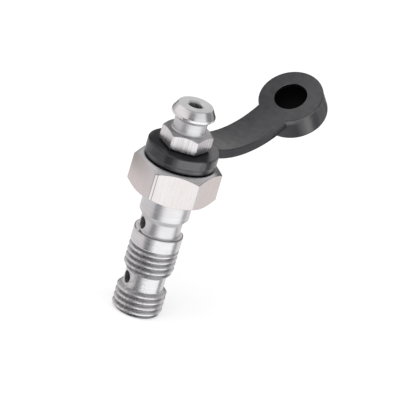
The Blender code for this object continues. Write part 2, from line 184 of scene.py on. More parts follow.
class BoltSizes(PropertyGroup):
    """Sizes of the turned steel that a user may change."""

    thread_pitch: FloatProperty(
        name="Thread Pitch",
        description="Distance between two crests of the bolt's thread",
        default=0.00125,
        min=0.0005,
        unit="LENGTH",
    )
    thread_depth: FloatProperty(
        name="Thread Depth",
        description="From crest to root of the bolt's thread",
        default=0.00075,
        min=0.0001,
        unit="LENGTH",
    )
    head_across_flats: FloatProperty(
        name="Head Across Flats",
        description="Spanner size of the bolt's head",
        default=0.0157,
        min=0.012,
        unit="LENGTH",
    )
    screw_pitch: FloatProperty(
        name="Bleed Screw Pitch",
        description="Distance between two crests of the bleed screw's thread",
        default=0.0010,
        min=0.0005,
        unit="LENGTH",
    )
    screw_across_flats: FloatProperty(
        name="Bleed Screw Across Flats",
        description="Spanner size of the bleed screw",
        default=0.0091,
        min=0.008,
        unit="LENGTH",
    )
    edge_break: FloatProperty(
        name="Edge Break",
        description="Rounding left on the machined edges",
        default=0.00010,
        min=0.00002,
        unit="LENGTH",
    )
    columns: IntProperty(
        name="Columns",
        description="Steps round the axis of each turned surface",
        default=160,
        min=48,
    )


class SteelFinish(PropertyGroup):
    """Colour and gloss of the steel."""

    colour: FloatVectorProperty(
        name="Steel",
        description="Colour of the bright turned steel",
        default=(0.735, 0.735, 0.75),
        subtype="COLOR",
    )
    tint: FloatVectorProperty(
        name="Warm Tint",
        description="Colour of the hexagons' flats and of warmer patches on the steel",
        default=(0.755, 0.70, 0.685),
        subtype="COLOR",
    )
    roughness: FloatProperty(
        name="Roughness",
        description="Roughness of the steel between its tool marks",
        default=0.27,
        min=0.05,
        max=1.0,
    )
    satin_roughness: FloatProperty(
        name="Satin Roughness",
        description="Roughness of the bleed screw, which is duller than the bolt",
        default=0.34,
        min=0.05,
        max=1.0,
    )
    mark_depth: FloatProperty(
        name="Tool Mark Depth",
        description="Depth of the tool marks",
        default=0.000004,
        min=0.0,
        unit="LENGTH",
    )


class RubberFinish(PropertyGroup):
    """Colour and gloss of the rubber."""

    colour: FloatVectorProperty(
        name="Rubber",
        description="Colour of the moulded rubber",
        default=(0.0055, 0.0062, 0.0105),
        subtype="COLOR",
    )
    bloom: FloatVectorProperty(
        name="Bloom",
        description="Colour of the faint grey bloom on the rubber's skin",
        default=(0.0105, 0.0112, 0.0155),
        subtype="COLOR",
    )
    # The matt colour also serves as painted shade on the ring's top, at its foot, in one strip of its wall
    # and beside the strap.
    matt_and_shade_colour: FloatVectorProperty(
        name="Matt Rubber",
        description="Colour of the rubber where it has been rubbed",
        default=(0.0095, 0.010, 0.013),
        subtype="COLOR",
    )
    roughness: FloatProperty(
        name="Roughness",
        description="Roughness of the rubber's skin",
        default=0.22,
        min=0.05,
        max=1.0,
    )


class StudioSetup(PropertyGroup):
    """Camera and light."""

    azimuth: FloatProperty(
        name="Camera Azimuth",
        description="Direction that the camera looks along, from +Y",
        default=math.radians(-53.5),
        subtype="ANGLE",
    )
    elevation: FloatProperty(
        name="Camera Elevation",
        description="Height of the camera above the horizon",
        default=math.radians(24),
        subtype="ANGLE",
    )
    roll: FloatProperty(
        name="Camera Roll",
        description="How far the bolt's top leans to the right in the picture",
        default=math.radians(16.6),
        subtype="ANGLE",
    )
    lens: FloatProperty(
        name="Lens",
        description="Focal length in millimetres, long enough to look nearly parallel",
        default=1500.0,
        min=50.0,
    )
    ambient: FloatProperty(
        name="Ambient",
        description="Strength of the even light from all round",
        default=0.55,
        min=0.0,
    )


def bolt_axis():
    """Where each piece's own origin goes."""
    return Vector((AXIS_X, 0, 0))


def new_object(name, data):
    """Puts a mesh, a lamp or a camera into the scene."""
    obj = bpy.data.objects.new(name, data)
    bpy.context.scene.collection.objects.link(obj)
    return obj


def object_from(name, shape):
    """Makes an object of a bmesh, which is then freed."""
    mesh = bpy.data.meshes.new(name)
    shape.to_mesh(mesh)
    shape.free()
    return new_object(name, mesh)


def round_angles(columns):
    """Evenly spaced directions round the axis, from 0 to a whole turn."""
    return [2 * math.pi * k / columns for k in range(columns + 1)]


def corner_span(across_flats, corner_round):
    """How far the corner's arc reaches to each side of it, as an angle, and the arc's centre."""
    centre = (across_flats / 2 - corner_round) / math.cos(math.pi / 6)
    side = corner_round * math.sin(math.pi / 6)
    return math.atan2(side, centre + corner_round * math.cos(math.pi / 6)), centre


def hexagon_angles(columns, across_flats, corner_angle, corner_round, steps=4):
    """Directions round the axis, closer over each rounded corner of a hexagon and even between them."""
    clear_spans = 1.3
    span, centre = corner_span(across_flats, corner_round)
    corners = [corner_angle + k * math.pi / 3 for k in range(6)]
    angles = []
    for angle in round_angles(columns)[:-1]:
        nearest = min(abs((angle - c + math.pi) % (2 * math.pi) - math.pi) for c in corners)
        if nearest > clear_spans * span:
            angles.append(angle)
    for corner in corners:
        for k in range(-steps, steps + 1):
            turn = math.pi / 6 * k / steps
            offset = math.atan2(corner_round * math.sin(turn), centre + corner_round * math.cos(turn))
            angles.append((corner + offset) % (2 * math.pi))
    angles.sort()
    return angles + [angles[0] + 2 * math.pi]


def hexagon_reach(angle, across_flats, corner_angle, corner_round):
    """Distance from the axis to a hexagon with rounded corners, in one direction."""
    span, centre = corner_span(across_flats, corner_round)
    from_corner = (angle - corner_angle + math.pi / 6) % (math.pi / 3) - math.pi / 6
    if abs(from_corner) < span:
        across = centre * math.sin(from_corner)
        return centre * math.cos(from_corner) + math.sqrt(corner_round**2 - across**2)
    return across_flats / 2 / math.cos(math.pi / 6 - abs(from_corner))


def eased(corners, steps=3):
    """A profile whose corners, given as (radius, height, rounding), are rounded off.

    A rounding takes up no more than its share of the line on either side of it.
    """
    share_of_line = 0.45
    points = [Vector((r, z)) for r, z, _ in corners]
    profile = []
    for k, (_, _, rounding) in enumerate(corners):
        here = points[k]
        if rounding <= 0 or k in (0, len(corners) - 1):
            profile.append(here)
            continue
        before = points[k - 1] - here
        after = points[k + 1] - here
        if before.length < MERGE_DISTANCE or after.length < MERGE_DISTANCE:
            profile += [here] * (steps + 1)
            continue
        turn = math.pi - before.angle(after)
        room = share_of_line * min(before.length, after.length)
        cut = min(rounding * math.tan(turn / 2), room)
        start = here + before.normalized() * cut
        end = here + after.normalized() * cut
        for step in range(steps + 1):
            t = step / steps
            profile.append(start * (1 - t) ** 2 + here * (2 * t * (1 - t)) + end * t**2)
    return profile


def smooth_step(value):
    """0 up to 0, 1 from 1 on, and a smooth change between them."""
    value = min(max(value, 0.0), 1.0)
    return value * value * (3 - 2 * value)


# Half a thread's section: how far from the middle of its crest, as a share of the pitch, and how deep
# it is cut there, as a share of its depth.
THREAD_FORM = (
    (0.00, 0.00),
    (0.11, 0.00),
    (0.15, 0.05),
    (0.23, 0.30),
    (0.34, 0.66),
    (0.44, 0.94),
    (0.50, 1.00),
)


def thread_cut(share):
    """How deep a thread is cut at a share of its pitch from the middle of a crest."""
    from_crest = abs((share + 0.5) % 1.0 - 0.5)
    for (near, shallow), (far, deep) in zip(THREAD_FORM, THREAD_FORM[1:]):
        if from_crest <= far:
            return shallow + (deep - shallow) * (from_crest - near) / (far - near)
    return 1.0


def thread_rows(angle, bottom, top, pitch, depth, phase, outline, fade_top=0.0, fade_bottom=0.0):
    """Profile points of a right-hand thread, from its top down, at one direction round the axis.

    The outline gives the bar's radius at a height. The rows follow the helix, and those that would
    pass the thread's ends stay there. Near an end with a fade, the groove runs out. Each column has
    spare turns past both ends, because the phase and the climb of one turn shift them.
    """
    spare_above = 1
    spare_below = 3
    shares = [s for s, _ in THREAD_FORM] + [1 - s for s, _ in reversed(THREAD_FORM[1:-1])]
    lead = pitch * (angle / (2 * math.pi) + phase)
    rows = []
    for turn in range(math.ceil((top - bottom) / pitch) + spare_above, -spare_below - 1, -1):
        for share in reversed(shares):
            height = bottom + lead + (turn + share) * pitch
            height = min(max(height, bottom), top)
            sunk = depth * thread_cut((height - bottom - lead) / pitch)
            if fade_top:
                sunk *= smooth_step((top - height) / fade_top)
            if fade_bottom:
                sunk *= smooth_step((height - bottom) / fade_bottom)
            rows.append(Vector((min(outline(height), THREAD_CREST[outline] - sunk), height)))
    return rows


def lower_thread_outline(height):
    """Radius of the bar under the lower thread: chamfered tip, and a taper into the groove."""
    if height < TIP_CHAMFER:
        return THREAD_RADIUS - TIP_CHAMFER + height
    if height > LOWER_THREAD_TOP:
        share = (height - LOWER_THREAD_TOP) / (GROOVE_BOTTOM - LOWER_THREAD_TOP)
        return THREAD_RADIUS + (GROOVE_RADIUS - THREAD_RADIUS) * share
    return THREAD_RADIUS


def upper_thread_outline(height):
    """Radius of the bar under the upper thread: a taper up out of the groove, then straight."""
    if height < UPPER_THREAD_BOTTOM:
        share = (height - GROOVE_TOP) / (UPPER_THREAD_BOTTOM - GROOVE_TOP)
        return GROOVE_RADIUS + (THREAD_RADIUS - GROOVE_RADIUS) * share
    return THREAD_RADIUS


def screw_thread_outline(height):
    """Radius of the bar under the bleed screw's thread."""
    return SCREW_SHANK_RADIUS


# The radius at the crests of each thread.
THREAD_CREST = {
    lower_thread_outline: THREAD_RADIUS,
    upper_thread_outline: THREAD_RADIUS,
    screw_thread_outline: SCREW_SHANK_RADIUS,
}


def hex_corners(reach, face, bottom, top, edge, chamfer_below):
    """Outer corners of a chamfered hexagon in one direction, from its top face to its bottom face."""
    share_of_drop = 0.35
    drop = (reach - face) * HEX_CHAMFER_SLOPE
    edge = min(edge, share_of_drop * drop)
    corners = [(face, top, edge), (reach, top - drop, edge)]
    if chamfer_below:
        corners += [(reach, bottom + drop, edge), (face, bottom, edge)]
    else:
        corners += [(reach, bottom, edge)]
    return corners


def bolt_column(sizes, angle):
    """The bolt's whole section in one direction, as a closed line round its wall."""
    edge = sizes.edge_break
    flats = sizes.head_across_flats
    reach = hexagon_reach(angle, flats, HEAD_CORNER_ANGLE, HEAD_CORNER_ROUND)
    face = flats / 2 - HEAD_FACE_INSET
    runout = sizes.thread_pitch * THREAD_RUNOUT_SHARE
    thread_end = LAND_BOTTOM + runout
    above = [
        (SOCKET_RADIUS + SOCKET_CHAMFER, CROWN_TOP, 0),
        (CROWN_RADIUS, CROWN_TOP, edge),
        *hex_corners(reach, face, HEAD_BOTTOM, HEAD_TOP, edge, True)[1:],
        (SHANK_RADIUS, HEAD_BOTTOM, 0.00025),
        (SHANK_RADIUS, SHANK_BOTTOM, edge),
        (NECK_RADIUS, NECK_TOP, 0.0006),
        (NECK_RADIUS, NECK_BOTTOM, 0.00018),
        (THREAD_RADIUS, NECK_BOTTOM, 0.00014),
        (THREAD_RADIUS, thread_end, 0),
    ]
    upper = thread_rows(
        angle,
        GROOVE_TOP,
        thread_end,
        sizes.thread_pitch,
        sizes.thread_depth,
        UPPER_THREAD_PHASE,
        upper_thread_outline,
        fade_top=2 * runout,
    )
    lower = thread_rows(
        angle,
        0.0,
        GROOVE_BOTTOM,
        sizes.thread_pitch,
        sizes.thread_depth,
        LOWER_THREAD_PHASE,
        lower_thread_outline,
    )
    inside = [
        (THREAD_RADIUS - TIP_CHAMFER, 0, 0),
        (BOLT_BORE_RADIUS + BOLT_BORE_CHAMFER, 0, edge),
        (BOLT_BORE_RADIUS, BOLT_BORE_CHAMFER, edge),
        (BOLT_BORE_RADIUS, SEAT_BOTTOM, 0),
        (SOCKET_RADIUS, SEAT_BOTTOM + SOCKET_RADIUS - BOLT_BORE_RADIUS, 0),
        (SOCKET_RADIUS, CROWN_TOP - SOCKET_CHAMFER, edge),
        (SOCKET_RADIUS + SOCKET_CHAMFER, CROWN_TOP, 0),
    ]
    return eased(above) + upper + lower + eased(inside)


def screw_column(sizes, angle):
    """The bleed screw's section in one direction, from the bottom of its bore to the tip of its cone."""
    edge = sizes.edge_break
    flats = sizes.screw_across_flats
    reach = hexagon_reach(angle, flats, SCREW_CORNER_ANGLE, SCREW_CORNER_ROUND)
    face = flats / 2 - SCREW_FACE_INSET
    relief_bottom = SCREW_CONE_START + SCREW_RELIEF_RADIUS
    relief_top = relief_bottom + SCREW_RELIEF_LENGTH
    bore_bottom = relief_bottom + SCREW_RELIEF_LENGTH / 2 - SCREW_HOLE_RADIUS / 2
    thread_top = SCREW_HEX_BOTTOM - SCREW_UNDERCUT_LENGTH
    thread_bottom = relief_top + SCREW_SHANK_RADIUS - SCREW_RELIEF_RADIUS
    above = [
        (0, bore_bottom - SCREW_BORE_RADIUS * DRILL_POINT_SLOPE, 0),
        (SCREW_BORE_RADIUS, bore_bottom, 0),
        (SCREW_BORE_RADIUS, NIPPLE_TOP - SCREW_BORE_CHAMFER, edge),
        (SCREW_BORE_RADIUS + SCREW_BORE_CHAMFER, NIPPLE_TOP, edge),
        (NIPPLE_TOP_RADIUS, NIPPLE_TOP, 0.00028),
        (BARB_RADIUS, BARB_CONE_START, 0.00022),
        (BARB_RADIUS, BARB_EDGE, 0.00014),
        (NIPPLE_NECK_RADIUS, BARB_BOTTOM, 0.0003),
        (NIPPLE_NECK_RADIUS, SCREW_HEX_TOP, 0.0006),
        *hex_corners(reach, face, SCREW_HEX_BOTTOM, SCREW_HEX_TOP, edge, False),
        (SCREW_SHANK_RADIUS - SCREW_UNDERCUT, SCREW_HEX_BOTTOM, 0.0002),
        (SCREW_SHANK_RADIUS - SCREW_UNDERCUT, thread_top + SCREW_UNDERCUT, 0.0001),
        (SCREW_SHANK_RADIUS, thread_top, 0),
    ]
    thread = thread_rows(
        angle,
        thread_bottom,
        thread_top,
        sizes.screw_pitch,
        SCREW_THREAD_DEPTH_SHARE * sizes.screw_pitch,
        0.0,
        screw_thread_outline,
        fade_top=sizes.screw_pitch / 2,
        fade_bottom=sizes.screw_pitch / 2,
    )
    below = [
        (SCREW_SHANK_RADIUS, thread_bottom, 0),
        (SCREW_RELIEF_RADIUS, relief_top, edge),
        (SCREW_RELIEF_RADIUS, relief_bottom, edge),
        (SCREW_TIP_RADIUS, SCREW_CONE_START + SCREW_TIP_RADIUS, edge),
        (0, SCREW_CONE_START + SCREW_TIP_RADIUS, 0),
    ]
    return eased(above) + thread + eased(below)


def skin(name, angles, columns, closed):
    """A mesh through profile columns placed round the axis. A closed column meets its own start.

    The last column lies a whole turn past the first and is welded to it, so that a thread, which
    has climbed one pitch by then, meets itself.
    """
    shape = bmesh.new()
    grid = []
    for angle, column in zip(angles, columns):
        turn = angle % (2 * math.pi)
        across = math.cos(turn), math.sin(turn)
        grid.append([shape.verts.new((p.x * across[0], p.x * across[1], p.y)) for p in column])
    rows = len(grid[0])
    for column, following in zip(grid, grid[1:]):
        for row in range(rows if closed else rows - 1):
            below = (row + 1) % rows
            shape.faces.new((column[row], column[below], following[below], following[row]))
    bmesh.ops.remove_doubles(shape, verts=shape.verts, dist=MERGE_DISTANCE)
    bmesh.ops.dissolve_degenerate(shape, dist=MERGE_DISTANCE / 10, edges=shape.edges)
    bmesh.ops.recalc_face_normals(shape, faces=shape.faces)
    return object_from(name, shape)


def turned(name, corners, columns):
    """A solid of revolution from one eased profile, from the axis to the axis."""
    profile = eased(corners)
    angles = round_angles(columns)
    return skin(name, angles, [profile] * len(angles), closed=False)


def combine(obj, tool, operation):
    """Applies a Boolean with a tool object, which is then removed."""
    modifier = obj.modifiers.new("cut", "BOOLEAN")
    modifier.operation = operation
    modifier.solver = "EXACT"
    modifier.object = tool
    settle(obj)
    bpy.data.objects.remove(tool, do_unlink=True)


def settle(obj):
    """Replaces an object's mesh by what its modifiers make of it."""
    bpy.context.view_layer.update()
    graph = bpy.context.evaluated_depsgraph_get()
    mesh = bpy.data.meshes.new_from_object(obj.evaluated_get(graph))
    obj.modifiers.clear()
    obj.data = mesh


def cross_drill(radius, height, reach, angle, steps=48):
    """A cutter through the axis, flared where it leaves the bar so that the hole's edge is broken."""
    flare = HOLE_EDGE_BREAK
    at_wall = radius + flare * 0.6
    past_wall = radius + flare + CUT_PAST * 0.6
    corners = [
        (0, reach + CUT_PAST, 0),
        (past_wall, reach + CUT_PAST, 0),
        (at_wall, reach, flare),
        (radius, reach - flare * 2, flare),
        (radius, -reach + flare * 2, flare),
        (at_wall, -reach, flare),
        (past_wall, -reach - CUT_PAST, 0),
        (0, -reach - CUT_PAST, 0),
    ]
    drill = turned("drill", corners, steps)
    lay_down = Matrix.Rotation(angle, 4, "Z") @ Matrix.Rotation(math.pi / 2, 4, "Y")
    drill.data.transform(Matrix.Translation((0, 0, height)) @ lay_down)
    return drill


def dress(obj, material, body, node, sharp=math.radians(33)):
    """Shades a finished piece, gives it its material and puts it in its node's place."""
    obj.location = bolt_axis()
    obj.data.materials.clear()
    obj.data.materials.append(material)
    obj.data.shade_smooth()
    obj.data.set_sharp_from_angle(angle=sharp)
    normals = obj.modifiers.new("weighted normals", "WEIGHTED_NORMAL")
    normals.keep_sharp = True
    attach(obj, body)
    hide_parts(node)


def make_bolt(sizes):
    """The banjo bolt: one skin through all its columns, drilled across in its groove and its neck."""
    angles = hexagon_angles(sizes.columns, sizes.head_across_flats, HEAD_CORNER_ANGLE, HEAD_CORNER_ROUND)
    columns = [bolt_column(sizes, angle) for angle in angles]
    bolt = skin("turned_bolt", angles, columns, closed=True)
    holes = (
        ((GROOVE_BOTTOM + GROOVE_TOP) / 2, GROOVE_RADIUS),
        ((NECK_BOTTOM + NECK_TOP) / 2, NECK_RADIUS),
    )
    for height, reach in holes:
        combine(bolt, cross_drill(CROSS_HOLE_RADIUS, height, reach, CROSS_HOLE_ANGLE), "DIFFERENCE")
    return bolt


def make_bleed_screw(sizes):
    """The bleed screw, drilled across above its cone."""
    flats = sizes.screw_across_flats
    angles = hexagon_angles(sizes.columns, flats, SCREW_CORNER_ANGLE, SCREW_CORNER_ROUND)
    columns = [screw_column(sizes, angle) for angle in angles]
    screw = skin("turned_bleed_screw", angles, columns, closed=False)
    height = SCREW_CONE_START + SCREW_RELIEF_RADIUS + SCREW_RELIEF_LENGTH / 2
    drill = cross_drill(SCREW_HOLE_RADIUS, height, SCREW_RELIEF_RADIUS, 0, steps=32)
    combine(screw, drill, "DIFFERENCE")
    return screw


def strap_start():
    """Distance from the bolt's axis to where the strap leaves the ring."""
    return math.sqrt(RING_RADIUS**2 - (STRAP_WIDTH / 2) ** 2)


def strap_point(share):
    """Place and slope of the strap's upper face, from the ring at 0 to the cap at 1."""
    slope = STRAP_ROOT_ANGLE + (STRAP_END_ANGLE - STRAP_ROOT_ANGLE) * share
    x = strap_start() + STRAP_BEND_RADIUS * (math.sin(slope) - math.sin(STRAP_ROOT_ANGLE))
    z = RING_TOP - STRAP_LIFT + STRAP_BEND_RADIUS * (math.cos(STRAP_ROOT_ANGLE) - math.cos(slope))
    out = Vector((-math.sin(slope), 0, math.cos(slope)))
    return Vector((x, 0, z)) + out * STRAP_LIFT, slope


def strap_length():
    """Length of the strap's upper face along its bend, from the ring to the cap."""
    return STRAP_BEND_RADIUS * (STRAP_END_ANGLE - STRAP_ROOT_ANGLE)


def cap_reach():
    """Distance from the strap's end to the middle of the cap, along its mouth face."""
    return math.sqrt(CAP_RADIUS**2 - (STRAP_WIDTH / 2) ** 2)


def cap_middle():
    """The middle of the cap's mouth."""
    end, slope = strap_point(1)
    return end + Vector((math.cos(slope), 0, math.sin(slope))) * cap_reach()


def full_cap_height():
    """From the cap's mouth to its foot: the lip, the pocket for the nipple, and the floor."""
    return CAP_LIP + NIPPLE_TOP - BARB_BOTTOM + CAP_POCKET_GROWTH + CAP_FLOOR


def bend(point):
    """Carries a point of the flat moulding, measured from the ring's axis, onto the bent strap."""
    start = strap_start()
    length = strap_length()
    if point.x <= start:
        return Vector((point.x, point.y, RING_TOP + point.z))
    place, slope = strap_point(min((point.x - start) / length, 1))
    along = Vector((math.cos(slope), 0, math.sin(slope)))
    out = Vector((-math.sin(slope), 0, math.cos(slope)))
    past = max(point.x - start - length, 0)
    return place + along * past + out * point.z + Vector((0, point.y, 0))


def moulding_outline(steps_round=40, steps_strap=36):
    """Half of the flat moulding's outline as (x, half width), from the ring's far side to the cap's."""
    ring_end = math.atan2(STRAP_WIDTH / 2, strap_start())
    cap_start = math.atan2(STRAP_WIDTH / 2, cap_reach())
    cap_x = strap_start() + strap_length() + cap_reach()
    outline = []
    for k in range(steps_round + 1):
        angle = math.pi + (ring_end - math.pi) * k / steps_round
        outline.append((RING_RADIUS * math.cos(angle), RING_RADIUS * math.sin(angle)))
    for k in range(1, steps_strap):
        outline.append((strap_start() + strap_length() * k / steps_strap, STRAP_WIDTH / 2))
    for k in range(steps_round + 1):
        angle = (math.pi - cap_start) * (1 - k / steps_round)
        outline.append((cap_x + CAP_RADIUS * math.cos(angle), CAP_RADIUS * math.sin(angle)))
    return outline


def make_moulding_plate(edge):
    """The sheet of rubber that ring, strap and cap share, with rounded edges, bent along the strap."""
    half = moulding_outline()
    ring = [Vector((x, y)) for x, y in half] + [Vector((x, -y)) for x, y in reversed(half[1:-1])]
    count = len(ring)
    outward = []
    for k, here in enumerate(ring):
        before = (here - ring[k - 1]).normalized()
        after = (ring[(k + 1) % count] - here).normalized()
        along = (before + after).normalized()
        outward.append(Vector((-along.y, along.x)))
    steps = 5
    upper = [math.pi / 2 * (1 - k / steps) for k in range(steps + 1)]
    levels = [(math.cos(a) - 1, math.sin(a) - 1) for a in upper]
    levels += [(math.cos(a) - 1, -STRAP_THICKNESS / edge + 1 - math.sin(a)) for a in reversed(upper)]
    shape = bmesh.new()
    loops = []
    for inward, depth in levels:
        flat = [p + n * inward * edge for p, n in zip(ring, outward)]
        loops.append([shape.verts.new(bend(Vector((p.x, p.y, depth * edge)))) for p in flat])
    for loop, lower in zip(loops, loops[1:]):
        for k in range(count):
            following = (k + 1) % count
            shape.faces.new((loop[k], loop[following], lower[following], lower[k]))
    # The upper and the lower face are rungs from side to side, with a triangle at each end.
    for loop in (loops[0], loops[-1]):
        last = len(half) - 1
        for k in range(last):
            left = [loop[k], loop[k + 1]]
            right = [loop[-k - 1], loop[-k]] if k else [loop[-1]]
            if k == last - 1:
                right = [loop[-k]]
            shape.faces.new(left + right)
    bmesh.ops.recalc_face_normals(shape, faces=shape.faces)
    return object_from("moulded_dust_cap", shape)


def cap_direction():
    """Where the cap's mouth looks."""
    return Vector((-math.sin(STRAP_END_ANGLE), 0, math.cos(STRAP_END_ANGLE)))


def tilt_to_cap(obj):
    """Moves something modelled under a mouth at the origin to the cap's place."""
    turn = Matrix.Rotation(-STRAP_END_ANGLE, 4, "Y")
    obj.data.transform(Matrix.Translation(cap_middle()) @ turn)
    return obj


def lower_disc(name, radius, base_radius, top, bottom, rounding, columns):
    """The part of the ring or the cap that hangs below the shared sheet."""
    corners = [(0, top, 0), (radius, top, 0), (base_radius, bottom, rounding), (0, bottom, 0)]
    return turned(name, corners, columns)


def make_dust_cap(columns):
    """The dust cap: the bent sheet with the ring and the cap below it, then the ring's hole and the pocket.

    Ring and cap start a little inside the sheet's edge, at the mould's parting line.
    """
    edge = 0.00024
    parting = 0.00002
    covered = 0.0010
    cap_height = full_cap_height()
    rubber = make_moulding_plate(edge)
    wall = RING_RADIUS - parting
    ring = lower_disc("ring", wall, wall, RING_TOP - covered, RING_BOTTOM, 0.0009, columns)
    combine(rubber, ring, "UNION")
    wall = CAP_RADIUS - parting
    base = CAP_BASE_RADIUS - parting
    cap = lower_disc("cap", wall, base, -covered, -cap_height, 0.0005, columns)
    combine(rubber, tilt_to_cap(cap), "UNION")
    hole = [
        (0, RING_TOP + CUT_PAST, 0),
        (RING_HOLE_RADIUS + CUT_PAST, RING_TOP + CUT_PAST, 0),
        (RING_HOLE_RADIUS, RING_TOP - 0.0001, 0.0003),
        (RING_HOLE_RADIUS, RING_BOTTOM + 0.0001, 0.0003),
        (RING_HOLE_RADIUS + CUT_PAST, RING_BOTTOM - CUT_PAST, 0),
        (0, RING_BOTTOM - CUT_PAST, 0),
    ]
    combine(rubber, turned("ring_hole", hole, columns), "DIFFERENCE")
    pocket = BARB_RADIUS + CAP_POCKET_GROWTH
    barb_edge = -CAP_LIP - (BARB_EDGE - BARB_BOTTOM)
    cone_start = barb_edge - (BARB_CONE_START - BARB_EDGE)
    hollow = [
        (0, CUT_PAST, 0),
        (CAP_MOUTH_RADIUS + CUT_PAST, CUT_PAST, 0),
        (CAP_MOUTH_RADIUS, -0.00008, 0.00025),
        (CAP_MOUTH_RADIUS, -CAP_LIP, 0.00025),
        (pocket, barb_edge, 0.0002),
        (pocket, cone_start, 0.0002),
        (NIPPLE_TOP_RADIUS + CAP_POCKET_GROWTH, CAP_FLOOR - cap_height, 0.0003),
        (0, CAP_FLOOR - cap_height, 0),
    ]
    combine(rubber, tilt_to_cap(turned("cap_hollow", hollow, columns)), "DIFFERENCE")
    return rubber


class Signal:
    """A shader socket that takes part in plain arithmetic."""

    def __init__(self, shader, socket):
        self.shader = shader
        self.socket = socket

    def _maths(self, operation, *values):
        node = self.shader.node("ShaderNodeMath", {"operation": operation}, dict(enumerate(values)))
        return Signal(self.shader, node.outputs[0])

    def __add__(self, other):
        return self._maths("ADD", self, other)

    __radd__ = __add__

    def __mul__(self, other):
        return self._maths("MULTIPLY", self, other)

    __rmul__ = __mul__

    def __sub__(self, other):
        return self._maths("SUBTRACT", self, other)

    def __rsub__(self, other):
        return self._maths("SUBTRACT", other, self)

    def band(self, low, high, soft):
        """1 between low and high, 0 elsewhere, with soft ends."""
        return self.step(low - soft, low + soft) - self.step(high - soft, high + soft)

    def step(self, low, high):
        """0 below low, 1 above high, and a smooth change between them."""
        settings = {"interpolation_type": "SMOOTHSTEP"}
        inputs = {"Value": self, "From Min": low, "From Max": high}
        node = self.shader.node("ShaderNodeMapRange", settings, inputs)
        return Signal(self.shader, node.outputs[0])


class Shader:
    """Node tree of one material or world."""

    def __init__(self, owner):
        owner.use_nodes = True
        self.tree = owner.node_tree
        self.tree.nodes.clear()

    def node(self, kind, settings=None, inputs=None):
        """Adds any node: its settings first, then the values or links of its inputs."""
        node = self.tree.nodes.new(kind)
        for name, value in (settings or {}).items():
            setattr(node, name, value)
        for key, value in (inputs or {}).items():
            self.feed(node.inputs[key], value)
        return node

    def feed(self, socket, value):
        if isinstance(value, Signal):
            self.tree.links.new(value.socket, socket)
        elif isinstance(value, bpy.types.NodeSocket):
            self.tree.links.new(value, socket)
        elif socket.type == "RGBA" and len(value) == 3:
            socket.default_value = (*value, 1.0)
        else:
            socket.default_value = value

    def mix_colours(self, share, first, second):
        settings = {"data_type": "RGBA"}
        node = self.node("ShaderNodeMix", settings, {"Factor": share, 6: first, 7: second})
        return node.outputs[2]

    def vector_maths(self, operation, inputs):
        return self.node("ShaderNodeVectorMath", {"operation": operation}, inputs).outputs

    def scaled(self, vector, scale):
        return self.vector_maths("MULTIPLY", {0: vector, 1: scale})[0]

    def dimmed(self, colour, share):
        return self.vector_maths("SCALE", {0: colour, "Scale": share})[0]

    def length(self, vector):
        return Signal(self, self.vector_maths("LENGTH", {0: vector})["Value"])

    def dot(self, vector, other):
        return Signal(self, self.vector_maths("DOT_PRODUCT", {0: vector, 1: other})["Value"])

    def towards(self, vector, side):
        """How far a place lies from the bolt's axis towards one side of it, given as an angle."""
        return self.dot(vector, (math.cos(side), math.sin(side), 0))

    def round_axis(self, vector, point, axis):
        """Distance of a place from an axis, and how far along the axis it lies from the point."""
        away = self.vector_maths("SUBTRACT", {0: vector, 1: point})[0]
        around = self.vector_maths("CROSS_PRODUCT", {0: away, 1: axis})[0]
        return self.length(around), self.dot(away, axis)

    def noise(self, vector, scale, detail=2.0):
        """Noise from 0 to 1 over a vector in metres. The scale is in cells per metre."""
        inputs = {"Vector": self.scaled(vector, scale), "Scale": 1.0, "Detail": detail}
        return Signal(self, self.node("ShaderNodeTexNoise", {}, inputs).outputs[0])

    def split(self, vector):
        node = self.node("ShaderNodeSeparateXYZ", {}, {0: vector})
        return [Signal(self, socket) for socket in node.outputs]

    def bump(self, height, distance):
        inputs = {"Strength": 1.0, "Distance": distance, "Height": height}
        return self.node("ShaderNodeBump", {}, inputs).outputs[0]

    def principled(self, inputs):
        return self.node("ShaderNodeBsdfPrincipled", {}, inputs).outputs[0]

    def mix_surfaces(self, share, first, second):
        return self.node("ShaderNodeMixShader", {}, {0: share, 1: first, 2: second}).outputs[0]

    def output(self, surface, kind="ShaderNodeOutputMaterial"):
        self.node(kind, {}, {"Surface": surface})


